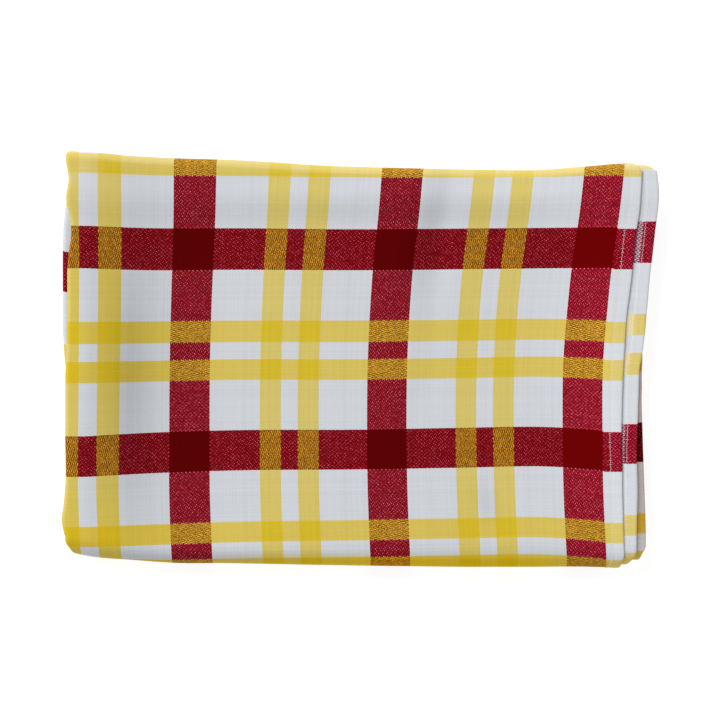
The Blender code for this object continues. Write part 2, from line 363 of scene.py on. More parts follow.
# Painted light and shade: the cloth is painted paler over the back fold, as a painted sheen,
# and deeper round the front fold, as painted shade, and its yellow yarn is painted richer near
# the left fold and along the front, as painted shade. Each rises or falls between two places,
# by v or by X.
PAINTED_SHEEN_SHARE = 0.09
PAINTED_SHEEN_RISE = (2.985, 3.03)
PAINTED_SHEEN_CORNER_RISE = (2.90, 2.98)
PAINTED_SHEEN_CORNER = (-0.172, -0.152)
FRONT_SHADE_FALL = (1.82, 1.93)
FRONT_SHADE_START = (-0.105, 0.020)
FRONT_SHADE_END = (0.105, 0.145)
YELLOW_SHADE_PLACES = (1.90, 2.01, 2.10, 2.19, 2.30, 2.41, 2.68, 2.83, 2.92)
YELLOW_SHADE_SHARES = (0.60, 0.60, 0.50, 0.20, 0.22, 0.36, 0.46, 0.30, 0.0)
YELLOW_SHADE_END = (-0.125, -0.060)
YELLOW_SHADE_FRONT = 0.15
YELLOW_SHADE_FRONT_FALL = (2.12, 2.22)

# ----
# The weave.

WARP_PITCH = 0.000607
WEFT_PITCH = 0.000570
WHITE, YELLOW, RED = 0, 1, 2
WARP_BANDS = ((RED, 40), (WHITE, 49), (YELLOW, 21), (WHITE, 18), (YELLOW, 21), (WHITE, 49))
WEFT_BANDS = ((RED, 43), (WHITE, 55), (YELLOW, 22), (WHITE, 19), (YELLOW, 22), (WHITE, 55))
WARP_START = 0.00433
WEFT_START = 0.05545
OUTER_STRIPE_THREAD = 198.0

# How strongly the flecks show, how much tone varies, and the heights of the relief.
FLECK_POWER = 1.4
FLECK_RANGE = 0.72
FLECK_LEAST = 0.08
FLECK_FULLNESS = 2.2
BORDER_FLECK = 0.5
HEM_FLECK = 0.14
OCHRE_FLECK = 0.45
WRONG_FLECK_FULLNESS = 6.0
WRONG_FLECK_RANGE = 0.4
WRONG_FLECK_LEAST = 0.8
STREAK_SCALES = (0.07, 3.7)
STREAK_START = 0.56
STREAK_STRENGTH = 3.0
THREAD_TONE = 0.05
PATCH_TONE = 0.05
PATCH_SCALE = 14.0
# Painted shade in the furrows round every thread.
FURROW_SHADE = 0.10
PLAIN_SPREAD = 0.02
MIXED_SPREAD = 0.30
OCHRE_SPREAD = 0.10
MIXED_SHADOW = 0.40
OCHRE_SHADOW = 0.35
SHADOW_LEAST = 0.2
PUCKER_HEIGHT = 0.00010
PUCKER_SCALE = 120.0
THREAD_HEIGHT = 0.00003

# What the cloth's colour is multiplied by, or for pale cloth mixed with.
PALE_HEM = 0.06
PALE_TINT = (1.0, 1.0, 1.0)
RED_HEM_TINT = (1.30, 1.10, 1.70)
OUTER_RED_TINT = (1.38, 1.0, 1.0)
OUTER_MIXED_TINT = (1.14, 1.0, 1.14)
# Tints of painted shade round the front fold and on the yellow.
FRONT_SHADE_TINT = (1.13, 0.99, 0.25)
YELLOW_SHADE_TINT = (1.0, 0.92, 0.25)
# Tint of the painted shade in the lee of the second hem.
LEE_SHADE_TINT = (1.36, 1.09, 0.92)

# The sewing thread's ply: how fine its bands are, and their two colours.
PLY_SCALE = 900.0
PLY_DARK = (218, 219, 222)
PLY_LIGHT = (228, 227, 229)

# For each warp yarn with each weft yarn: the cloth's colour on its right side, of its flecks
# where the other yarn comes up, and the same on its wrong side. Display values, 0 to 255.
YARN_ROWS = (
    (WHITE, WHITE, (208, 211, 216), (202, 205, 212), (206, 209, 214), (202, 205, 211)),
    (WHITE, YELLOW, (214, 191, 92), (217, 200, 124), (222, 214, 188), (218, 202, 132)),
    (WHITE, RED, (116, 2, 11), (216, 92, 110), (202, 160, 170), (66, 2, 12)),
    (YELLOW, WHITE, (212, 193, 106), (215, 202, 138), (216, 207, 168), (212, 192, 104)),
    (YELLOW, YELLOW, (212, 185, 46), (214, 190, 66), (212, 186, 52), (211, 184, 46)),
    (YELLOW, RED, (169, 116, 32), (84, 26, 2), (192, 140, 54), (78, 14, 4)),
    (RED, WHITE, (128, 10, 24), (222, 112, 132), (198, 150, 162), (72, 4, 16)),
    (RED, YELLOW, (186, 139, 44), (104, 44, 6), (188, 140, 56), (82, 18, 6)),
    (RED, RED, (90, 1, 2), (88, 1, 2), (88, 1, 3), (86, 1, 3)),
)


def clear_start_objects():
    """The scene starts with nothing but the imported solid."""
    for name in ("Cube", "Light", "Camera"):
        if name in bpy.data.objects:
            bpy.data.objects.remove(bpy.data.objects[name])


def curve_between(part, step, start, end, start_slope, end_slope):
    """A cubic piece with the given values and slopes at its ends, read at a share of it."""
    rise = part * part * (3.0 - 2.0 * part)
    start_bow = part * (1.0 - part) ** 2 * step * start_slope
    end_bow = part * part * (part - 1.0) * step * end_slope
    return start * (1.0 - rise) + end * rise + start_bow + end_bow


def read_smoothly(curve_table, name, at):
    """One column of a table at the places asked for, on a cubic curve through its rows. Its
    slope at each row is the mean slope of the rows on both sides."""
    places, values = curve_table["place"], curve_table[name]
    slopes = np.gradient(values, places)
    at = np.clip(at, places[0], places[-1])
    row = np.clip(np.searchsorted(places, at) - 1, 0, len(places) - 2)
    step = places[row + 1] - places[row]
    picked = [grid[row + ahead] for grid in (values, slopes) for ahead in (0, 1)]
    return curve_between((at - places[row]) / step, step, *picked)


def pick_all(columns, row):
    """Each column of a table at these row numbers."""
    return {name: column[row] for name, column in columns.items()}


def ease(low, high, value):
    """0 below low, 1 above high, and a smooth S between: three times the square of the
    share less twice its cube."""
    part = np.clip((value - low) / (high - low), 0.0, 1.0)
    return part * part * (3.0 - 2.0 * part)


def bells(columns, across, along):
    """The sum of a table's bells: height times e to the minus of the squared distance from
    the middle, where each distance is counted in half widths along the bell's own turned
    axes."""
    total = np.zeros(np.broadcast(across, along).shape)
    for number in range(len(columns["turn"])):
        bell = pick_all(columns, number)
        turn = math.radians(bell["turn"])
        right = across - bell["across"]
        back = along - bell["along"]
        own_x = right * math.cos(turn) + back * math.sin(turn)
        own_y = back * math.cos(turn) - right * math.sin(turn)
        spread = (own_x / bell["half_across"]) ** 2 + (own_y / bell["half_along"]) ** 2
        total += bell["height"] * np.exp(-spread)
    return total


def stretches_at(count, flats, folds):
    """For a count of stretches: whether it is in a flat one, the share of it run through,
    the row, and the flat stretch's and the fold's values by name."""
    stretch = np.minimum(count.astype(int), 6)
    row = stretch // 2
    return (
        stretch % 2 == 0,
        count - stretch,
        row,
        pick_all(flats, row),
        pick_all(folds, np.minimum(row, 2)),
    )


def either(is_flat, **pairs):
    """Of each named pair, the first on a flat stretch and the second in a fold."""
    return {name: np.where(is_flat, *pair) for name, pair in pairs.items()}


def half_circle(fold, turns):
    """A fold's angle, its radius, and the height of its middle."""
    radius = 0.5 * (fold["upper"] - fold["lower"])
    return math.pi * turns, radius, 0.5 * (fold["upper"] + fold["lower"])


def section_at(u):
    """The strip's section at u: right end and share of the way to it, distance past there,
    offset from the strip's middle, and the sheet's normal.

    An even stretch is a flat layer. An odd one is a half circle: its angle runs from a
    quarter turn on one side of level to a quarter turn on the other, past is the radius
    times the angle's cosine, and the offset is the middle plus the radius times its sine.
    """
    is_flat, part, _, flat, fold = stretches_at(u, FLATS, LAYER_FOLDS)
    share = np.where(flat["runs_right"] > 0.0, part, 1.0 - part)
    angle, radius, middle = half_circle(fold, (part - 0.5) * fold["turn"])
    bulge = fold["side"] * np.cos(angle)
    return either(
        is_flat,
        right_end=(flat["right_end"].astype(int), 2),
        share=(share, fold["side"] > 0.0),
        past=((1.0 - share) * flat["left_inset"], radius * bulge + fold["inset"]),
        offset=(flat["offset"], middle + radius * np.sin(angle)),
        normal_x=(0.0, fold["outward"] * bulge),
        normal_out=(1.0 - 2.0 * flat["runs_right"], fold["outward"] * np.sin(angle)),
    )


def station_at(v):
    """The strip's place on its path at v: share of the way from the front fold to the back
    fold, distance past there, height, the strip's outer side, and its end's lag.

    An even stretch is a flat panel, and an odd one is a half circle as in section_at.
    """
    is_flat, part, row, panel, fold = stretches_at(v, PANELS, PANEL_FOLDS)
    share = np.where(panel["runs_back"] > 0.0, part, 1.0 - part)
    past = (1.0 - share) * panel["front_past"] + share * panel["end_past"]
    angle, radius, middle = half_circle(fold, fold["start"] + part * fold["turn"])
    return either(
        is_flat,
        is_inner=(row >= 2, row >= 2),
        share=(share, fold["share"]),
        past=(past, radius * np.cos(angle) + fold["inset"]),
        height=(panel["height"], middle + radius * np.sin(angle)),
        normal_y=(0.0, fold["outward"] * np.cos(angle)),
        normal_z=(panel["normal_z"], fold["outward"] * np.sin(angle)),
        lag=(share * panel["lag"], 0.0),
    )


def wobble(v, size, start):
    """A small uneven run along an edge: two sines of v that don't keep step."""
    return size * (0.6 * np.sin(23.0 * v + start) + 0.4 * np.sin(41.0 * v + 2.3 * start))


def ends_at(v):
    """The X of the middle of the left fold, and of the two hems and the right fold."""
    left = read_smoothly(ENDS, "left_fold", v)
    left = left + FIRST_LAYER + 0.5 * SOLID_THICKNESS
    rights = [read_smoothly(ENDS, name, v) for name in RIGHT_ENDS]
    rights[2] = rights[2] - 0.5 * (LAYER_PITCH + SOLID_THICKNESS)
    left = left + wobble(v, *LEFT_WOBBLE)
    rights[0] = rights[0] + wobble(v, *FIRST_HEM_WOBBLE)
    rights[1] = rights[1] + wobble(v, *SECOND_HEM_WOBBLE)
    return left, rights


def edge_distance(u, v, across, rights):
    """How far a point is from the nearest cut edge of the cloth, along the sheet."""
    from_first = np.where(u <= 1.0, rights[0] - across, NO_EDGE)
    from_second = np.where(u >= 6.0, rights[1] - across, NO_EDGE)
    from_start = np.where(v <= 1.0, v * PANEL_LENGTH, NO_EDGE)
    from_end = np.where(v >= 6.0, (7.0 - v) * PANEL_LENGTH, NO_EDGE)
    sides = np.minimum(from_first, from_second)
    return np.maximum(np.minimum(sides, np.minimum(from_start, from_end)), 0.0), sides


def half_thickness(u, side, distance, side_distance, on_top):
    """Half of the sheet's thickness on one side: plain, with a hem's two turned layers
    added on the wrong side, and rounded to almost nothing at the edge like a half circle.
    The first hem is at its full thickness, and the others are pressed flatter."""
    shown = np.where(u < RIGHT_FOLD_MIDDLE, 1.0, SECOND_HEM_FULLNESS)
    fullness = np.where(on_top, shown, HIDDEN_HEM_FULLNESS)
    fullness = np.where(side_distance < 0.5 * NO_EDGE, fullness, LONG_HEM_FULLNESS)
    in_hem = 1.0 - ease(HEM_WIDTH - HEM_STEP, HEM_WIDTH + HEM_STEP, distance)
    extra = np.where(side < 0.0, HEM_EXTRA * fullness * in_hem, 0.0)
    nose = 1.0 - np.minimum(distance / HEM_NOSE, 1.0)
    return (HALF_THICKNESS + extra) * np.sqrt(np.maximum(1.0 - nose * nose, THINNEST_EDGE))


def is_within(part, v):
    return (v > part[0]) & (v < part[1])


def sheet_at(u, v, side):
    """Where the sheet lies at u and v, and how far that is from its nearest edge.

    The section's point is turned onto its station: Y is the station's Y plus the offset
    times its normal, and the height likewise. The offset is first changed at the hems and
    by the droop, which grows with the square of the distance past its start. The stack's
    swell then multiplies the height, and the relief is added, times the square of the
    height's share of the stack, so that no layer passes through another.
    """
    section = section_at(u)
    station = station_at(v)
    left, rights = ends_at(v)
    right = np.choose(section["right_end"], rights)
    middle_across = left + section["share"] * (right - left) + section["past"]
    distance, side_distance = edge_distance(u, v, middle_across, rights)
    on_top = is_within(TOP_PART, v)
    half = side * half_thickness(u, side, distance, side_distance, on_top)
    across = middle_across + half * section["normal_x"]
    out = section["offset"] + half * section["normal_out"]
    near_first = 1.0 - ease(*FIRST_HEM_LIFT_FADE, rights[0] - middle_across)
    out = out + FIRST_HEM_LIFT * np.where((u <= 1.0) & on_top, near_first, 0.0)
    nose = 1.0 - np.minimum(side_distance / HEM_NOSE, 1.0)
    out = out - 0.5 * HEM_EXTRA * np.where(on_top, nose * nose, 0.0)
    tuck = corner_tuck(station, across, out)
    below = is_within(DROOPING_PART, u) & on_top
    past_start = np.clip((across - DROOP_START) / (DROOP_END - DROOP_START), 0.0, 1.5)
    out = out - np.where(below, DROOP * past_start**2 * ease(*DROOP_FADE, v), 0.0)
    front = read_smoothly(REACH, "front", across) + FRONT_FOLD_RADIUS
    back = read_smoothly(REACH, "back", across) - BACK_FOLD_RADIUS
    along = front + station["share"] * (back - front) + station["past"]
    along = along + out * station["normal_y"]
    along = along - station["lag"] * (out - FOURTH_LAYER) + tuck
    height = station["height"] + out * station["normal_z"]
    wave_x = np.cos(2.0 * math.pi * across / SWELL_LENGTH_X + SWELL_START)
    wave_y = np.sin(2.0 * math.pi * along / SWELL_LENGTH_Y)
    height = height * (1.0 + 0.5 * SWELL_SHARE * (wave_x + wave_y))
    relief = bells(RELIEF, across, along)
    height = height + relief * (height / STACK_HEIGHT) ** 2
    return {"across": across, "along": along, "height": height, "distance": distance}


def corner_tuck(station, across, out):
    """How much further back the inner layers lie in the loose front right corner: by the
    tuck for a layer's depth, times the fourth power of the share still to go to the back."""
    loose = ease(*CORNER_PART, across)
    depth = (FIRST_LAYER - out) / (3.0 * LAYER_PITCH)
    tuck = np.interp(depth, CORNER_DEPTHS, CORNER_TUCKS)
    tuck = np.where(station["is_inner"], INNER_FOLD_TUCK, tuck)
    return loose * tuck * (1.0 - station["share"]) ** 4


def shift_at(shifts, across, along):
    """A stripe's shift: each column is read smoothly at along, and then a cubic curve through
    the columns' values is read at across, with the mean slopes of read_smoothly."""
    places = np.array(list(shifts)[1:])
    values = np.stack([read_smoothly(shifts, place, along) for place in places])
    slopes = np.gradient(values, places, axis=0)
    at = np.clip(across, places[0], places[-1])
    left = np.clip(np.searchsorted(places, at) - 1, 0, len(places) - 2)
    step = places[left + 1] - places[left]
    picked = [
        np.take_along_axis(grid, (left + ahead)[None], axis=0)[0]
        for grid in (values, slopes)
        for ahead in (0, 1)
    ]
    return curve_between((at - places[left]) / step, step, *picked)


def run_out(start, path, end):
    """A place on the flat cloth that begins at start where the path is 0, and keeps even
    pace with the path's length so that it comes to end at the path's own end."""
    return start + (end - start) * path / path[-1]


def steps_along(first, second):
    """The distance run along the first axis of two grids of coordinates."""
    steps = np.hypot(np.diff(first, axis=0), np.diff(second, axis=0))
    return np.concatenate([np.zeros((1, first.shape[1])), np.cumsum(steps, axis=0)])


def line_at(lines, place):
    """The number of the first grid line at or past a place."""
    return int(np.argmax(lines >= place))


def cloth_coordinates(u_lines, v_lines, middle):
    """Each point's place on the flat cloth: metres along the weft, then along the warp.

    On the first layer the first is X less the warp stripes' lean. From there it runs on
    through the section, with the right fold and the second hem each along one warp thread.
    On the top panel the second is Y less the weft stripes' rise, plus the hems' slips. From
    there it runs on along the path to the cloth's two ends, each along one weft thread. The
    back fold takes up its own length of cloth on each layer.
    """
    across, along, height = middle["across"], middle["along"], middle["height"]
    section = section_at(np.broadcast_to(u_lines[None, :], across.shape))
    weft_place = across - shift_at(LEANS, across, along)
    lean_rise = ease(*BACK_FOLD_LEAN_RISE, v_lines[:, None])
    weft_place = weft_place - BACK_FOLD_LEAN * lean_rise
    left, right = line_at(u_lines, 1.0), line_at(u_lines, RIGHT_FOLD_MIDDLE)
    run = steps_along(across[:, left : right + 1].T, section["offset"][:, left : right + 1].T)
    lower = run_out(weft_place[:, left], run, RIGHT_FOLD_PLACE).T
    run = steps_along(across[:, right:].T, section["offset"][:, right:].T)
    upper = run_out(np.full(len(across), RIGHT_FOLD_PLACE), run, SECOND_HEM_PLACE).T
    weft_place = np.concatenate([weft_place[:, :left], lower[:, :-1], upper], axis=1)

    layer_rise = np.interp(u_lines, *zip(*LAYER_RISE_ALONG_U))[None, :]
    slip = HEM_SLIP * (1.0 - ease(*HEM_SLIP_FADE, middle["distance"]))
    slack = np.interp(along, SECOND_HEM_PLACES, SECOND_HEM_SLIPS)
    slack = slack * ease(*SECOND_HEM_SLIP_RISE, u_lines[None, :])
    slip = np.where(u_lines[None, :] <= 1.0, slip, slack)
    warp_place = along - shift_at(RISES, across, along) - layer_rise + slip
    first, last, panel = (line_at(v_lines, place) for place in (2.0, 3.0, 4.0))
    path = steps_along(along[: first + 1][::-1], height[: first + 1][::-1])
    before = run_out(warp_place[first], path, BOTTOM_END_PLACE)[::-1]
    fold_run = np.interp(u_lines, BACK_FOLD_PLACES, BACK_FOLD_RUNS)[None, :]
    through = warp_place[last] + fold_run * (v_lines[last:panel, None] - 3.0)
    path = steps_along(along[panel:], height[panel:])
    after = run_out(warp_place[last] + fold_run, path, THIRD_END_PLACE)
    return weft_place, np.concatenate([before, warp_place[first + 1 : last], through, after])


def painted_hem_shade(u, v, across):
    """Two shares of painted shade, each a bell of the distance past the edge that gives it:
    the groove on the layer beside the first hem, and the lee below the second hem."""
    rights = ends_at(v)[1]
    past_first = np.maximum(across - rights[0], 0.0) / GROOVE_WIDTH
    past_second = np.maximum(across - rights[1], 0.0) / LEE_WIDTH
    groove_shade = np.where(u >= 6.0, GROOVE_SHADE * np.exp(-(past_first**2)), 0.0)
    lee_shade = np.where((u > 2.0) & (u < 5.0), np.exp(-(past_second**2)), 0.0)
    lee_shade = lee_shade * (LEE_AT_FRONT + (1.0 - LEE_AT_FRONT) * ease(*LEE_RISE, v))
    return groove_shade, np.maximum(lee_shade, groove_shade)


def painted_fold_shading(u, v, across):
    """Three shares: how much paler the cloth is painted over the back fold, as painted sheen,
    how much deeper its colour is painted round the front fold, away from its two ends, as
    painted shade, and how much richer its yellow is painted near the left fold and along the
    front, as painted shade."""
    corner = ease(*PAINTED_SHEEN_CORNER_RISE, v) * (1.0 - ease(*PAINTED_SHEEN_CORNER, across))
    painted_sheen = PAINTED_SHEEN_SHARE * np.maximum(ease(*PAINTED_SHEEN_RISE, v), corner)
    middle = ease(*FRONT_SHADE_START, across) * (1.0 - ease(*FRONT_SHADE_END, across))
    front_shade = (1.0 - ease(*FRONT_SHADE_FALL, v)) * middle
    yellow_shade = np.interp(v, YELLOW_SHADE_PLACES, YELLOW_SHADE_SHARES) * (1.0 - ease(*YELLOW_SHADE_END, across))
    yellow_shade = np.maximum(yellow_shade, YELLOW_SHADE_FRONT * (1.0 - ease(*YELLOW_SHADE_FRONT_FALL, v)))
    return painted_sheen, np.where(u <= 1.0, front_shade, 0.0), np.where(u <= 1.0, yellow_shade, 0.0)


def grid_lines(hem, first, between, last):
    """Lines from 0 to 7: a hem's own, then even ones, as many for each stretch as its count
    says, and at the other edge the hem's again the other way round."""
    evens = [at + np.linspace(0.0, 1.0, count)[:-1] for at, count in enumerate(between, 1)]
    start = np.linspace(hem[-1], 1.0, first)[1:-1]
    end = 6.0 + np.linspace(0.0, 1.0 - hem[-1], last)[:-1]
    return np.concatenate([hem, start, *evens, end, 7.0 - hem[::-1]])


def sheet_lines():
    """The lines of the sheet's grid: fine on the layer and panel that show, fine at the
    hems and round the folds, and wide on what lies hidden."""
    u_lines = grid_lines(np.array(SHORT_HEM_LINES) / HEM_LINE_LENGTH, *LAYER_LINES)
    v_lines = grid_lines(np.array(LONG_HEM_LINES) / PANEL_LENGTH, *PANEL_LINES)
    return u_lines, v_lines


def sheet_faces(rows, columns):
    """Four-sided faces of the right side, the wrong side and the rim that joins them. The
    right side's corners are numbered first, row by row, and then the wrong side's."""
    number = np.arange(rows * columns).reshape(rows, columns)
    corners = [number[:-1, :-1], number[1:, :-1], number[1:, 1:], number[:-1, 1:]]
    right = np.stack(corners, axis=-1).reshape(-1, 4)
    faces = [right, right[:, ::-1] + number.size]
    for edge in (number[:, 0], number[::-1, -1], number[0, ::-1], number[-1]):
        other = edge + number.size
        faces.append(np.stack([edge[1:], edge[:-1], other[:-1], other[1:]], axis=-1))
    return np.concatenate(faces)


def make_mesh(name, corners, faces):
    """A smooth mesh from an array of corners and an array of four-sided faces."""
    mesh = bpy.data.meshes.new(name)
    mesh.vertices.add(len(corners))
    mesh.vertices.foreach_set("co", corners.astype(np.float32).ravel())
    mesh.loops.add(faces.size)
    mesh.loops.foreach_set("vertex_index", faces.astype(np.int32).ravel())
    mesh.polygons.add(len(faces))
    mesh.polygons.foreach_set("loop_start", np.arange(0, faces.size, 4, dtype=np.int32))
    mesh.update(calc_edges=True)
    mesh.polygons.foreach_set("use_smooth", np.ones(len(faces), bool))
    return mesh


def add_values(mesh, name, values):
    attribute = mesh.attributes.new(name, "FLOAT", "POINT")
    attribute.data.foreach_set("value", values.astype(np.float32).ravel())


def add_piece(name, mesh, material):
    piece = bpy.data.objects.new(name, mesh)
    mesh.materials.append(material)
    bpy.context.scene.collection.objects.link(piece)
    return piece


def in_frame(points, shift):
    return np.stack([points["across"], points["along"], points["height"]], axis=-1) + shift


def make_cloth(shift, material):
    """The whole sheet: its right side, its wrong side half a thickness away, and its rim."""
    u_lines, v_lines = sheet_lines()
    u, v = u_lines[None, :], v_lines[:, None]
    middle = sheet_at(u, v, 0.0)
    right = sheet_at(u, v, 1.0)
    wrong = sheet_at(u, v, -1.0)
    corners = np.concatenate([in_frame(face, shift).reshape(-1, 3) for face in (right, wrong)])
    faces = sheet_faces(len(v_lines), len(u_lines))
    mesh = make_mesh("tablecloth_sheet", corners, faces)
    weft_place, warp_place = cloth_coordinates(u_lines, v_lines, middle)
    places = np.stack([weft_place, warp_place], axis=-1).reshape(-1, 2)
    places = np.concatenate([places, places])
    woven = mesh.uv_layers.new(name="woven")
    woven.data.foreach_set("uv", places[faces.ravel()].astype(np.float32).ravel())
    add_values(mesh, "right_side", np.repeat([1.0, 0.0], len(corners) // 2))
    across = middle["across"]
    # Painted shade and painted light of the hollows, on the first and second layers.
    painted_shading = bells(PAINTED_SHADING_BELLS, across, middle["along"])
    painted_shading = np.where((u <= 1.0) | (u >= 6.0), painted_shading, 0.0)
    # Painted shade in the groove beside the first hem and in the second hem's lee.
    groove_shade, lee_shade = painted_hem_shade(u, v, across)
    on_top = is_within(TOP_PART, v)
    shares = {
        "from_edge": np.minimum(middle["distance"], FARTHEST_EDGE),
        "painted_shading": np.where(on_top, painted_shading + groove_shade, 0.0),
        "lee_shade": np.where(on_top, lee_shade, 0.0),
    }
    # Painted sheen over the back fold, and painted shade round the front fold and on the
    # yellow.
    for name, share in zip(("painted_sheen", "front_shade", "yellow_shade"), painted_fold_shading(u, v, across)):
        shares[name] = np.where(is_within(PAINTED_FOLD_PART, v), share, 0.0)
    for name, share in shares.items():
        add_values(mesh, name, np.tile(share.ravel(), 2))
    return add_piece("tablecloth_sheet", mesh, material)


# ----
# The machine stitches of the hems.

ROW_ENDS = (0.004, 6.996)
ROW_POINTS = 6000
ROW_INSET = 0.0205
STITCH_PITCH = 0.0027
STITCH_INSETS = (0.0072, 0.0061)
STRIP_LENGTH = 0.3385
TIE_HALF_LENGTH = 0.0012
TIE_RADIUS = 0.00014
STITCH_LENGTH = 0.0019
STITCH_RADIUS = 0.00014
STITCH_RINGS = 6
STITCH_SIDES = 6
STITCH_SLANT = 0.00022
STITCH_RISE = 1.1
STITCH_SINK = 0.75
STITCH_END = 0.55
STITCH_FLOOR = 0.00002
UNEVEN = 0.25


def stitch_row(hem_u, into_cloth, side, inset, shift):
    """One row of lock stitches beside a hem, as corners and faces. Each stitch slants a
    little, and between two a short tie of the other thread lies across the row."""
    v = np.linspace(*ROW_ENDS, ROW_POINTS)
    line = sheet_at(np.full_like(v, hem_u + into_cloth * ROW_INSET), v, 0.0)
    steps = np.sqrt(sum(np.diff(line[name]) ** 2 for name in ("across", "along", "height")))
    run = np.concatenate([[0.0], np.cumsum(steps)])
    count = int(run[-1] / STITCH_PITCH)
    middles = (np.arange(count) + 0.5) * STITCH_PITCH
    part = np.linspace(-1.0, 1.0, STITCH_RINGS)[None, :]
    at_v = np.interp(middles[:, None] + 0.5 * STITCH_LENGTH * part, run, v)
    uneven = (1.0 - UNEVEN + UNEVEN * np.sin(1.7 * np.arange(count)))[:, None]
    slant = STITCH_SLANT * part * uneven
    row_u = hem_u + into_cloth * inset / STRIP_LENGTH
    stitches = thread_on_sheet(row_u + slant / STRIP_LENGTH, at_v, side, STITCH_RADIUS, shift)
    tie_v = np.interp(middles + 0.5 * STITCH_PITCH, run, v)
    tie_v = np.repeat(tie_v[:, None], STITCH_RINGS, axis=1)
    tie_u = row_u + TIE_HALF_LENGTH * part * uneven / STRIP_LENGTH
    ties = thread_on_sheet(tie_u, tie_v, side, TIE_RADIUS, shift)
    return np.concatenate([stitches, ties]), stitch_faces(2 * count)


def thread_on_sheet(at_u, at_v, side, thickest, shift):
    """The corners of short threads on the sheet, one for each row of places. A thread's
    axis rises from the cloth and sinks back as a half sine, and its ends are thinner."""
    part = np.linspace(-1.0, 1.0, STITCH_RINGS)
    surface = in_frame(sheet_at(at_u, at_v, side), shift)
    core = in_frame(sheet_at(at_u, at_v, 0.0), shift)
    up = surface - core
    up /= np.linalg.norm(up, axis=-1, keepdims=True)
    forward = np.gradient(surface, axis=1)
    forward /= np.linalg.norm(forward, axis=-1, keepdims=True)
    beside = np.cross(forward, up)
    rise = np.cos(0.5 * math.pi * part)[None, :, None]
    axis = surface + up * (rise * STITCH_RISE - STITCH_SINK) * thickest
    radius = thickest * (STITCH_END + (1.0 - STITCH_END) * rise)
    angle = np.linspace(0.0, 2.0 * math.pi, STITCH_SIDES, endpoint=False)[None, None, :, None]
    ring = up[:, :, None] * np.cos(angle) + beside[:, :, None] * np.sin(angle)
    corners = axis[:, :, None] + ring * radius[..., None]
    corners[..., 2] = np.maximum(corners[..., 2], STITCH_FLOOR)
    return corners.reshape(-1, 3)


def stitch_faces(count):
    """The tube's faces for every stitch, and two four-sided halves to close each end."""
    number = np.arange(STITCH_RINGS * STITCH_SIDES).reshape(STITCH_RINGS, STITCH_SIDES)
    turned = np.roll(number, -1, axis=1)
    tube = np.stack([number[:-1], number[1:], turned[1:], turned[:-1]], axis=-1).reshape(-1, 4)
    start, end = number[0], number[-1]
    caps = [start[[0, 1, 2, 3]], start[[0, 3, 4, 5]], end[[3, 2, 1, 0]], end[[5, 4, 3, 0]]]
    one = np.concatenate([tube, np.array(caps)])
    first = np.arange(count)[:, None, None] * number.size
    return (one[None] + first).reshape(-1, 4)


def make_stitches(shift, material):
    """The rows beside the first hem and the second hem, each on the face that shows."""
    rows = [
        stitch_row(0.0, 1.0, 1.0, STITCH_INSETS[0], shift),
        stitch_row(7.0, -1.0, -1.0, STITCH_INSETS[1], shift),
    ]
    pieces = []
    for name, (corners, faces) in zip(("first_hem_stitches", "second_hem_stitches"), rows):
        pieces.append(add_piece(name, make_mesh(name, corners, faces), material))
    return pieces


# ----
# Finishes.


def linear(value):
    """A display value from 0 to 255 as the light that it stands for."""
    share = value / 255.0
    return share / 12.92 if share <= 0.04045 else ((share + 0.055) / 1.055) ** 2.4


def colour(display):
    return tuple(linear(value) for value in display) + (1.0,)


class Value:
    """What a node of a finish gives, which more nodes can be worked out from."""

    def __init__(self, finish, socket):
        self.finish = finish
        self.socket = socket

    def work(self, operation, *others):
        return self.finish.node("Math", dict(enumerate((self, *others))), operation=operation)

    __add__ = partialmethod(work, "ADD")
    __sub__ = partialmethod(work, "SUBTRACT")
    __mul__ = partialmethod(work, "MULTIPLY")
    __truediv__ = partialmethod(work, "DIVIDE")
    __mod__ = partialmethod(work, "FLOORED_MODULO")
    __pow__ = partialmethod(work, "POWER")
    __gt__ = partialmethod(work, "GREATER_THAN")
    __lt__ = partialmethod(work, "LESS_THAN")
    floor = partialmethod(work, "FLOOR")
    most = partialmethod(work, "MAXIMUM")
    least = partialmethod(work, "MINIMUM")

    def rest(self):
        """One less it."""
        return self * -1.0 + 1.0

    def equals(self, number):
        return self.work("COMPARE", float(number), 0.1)


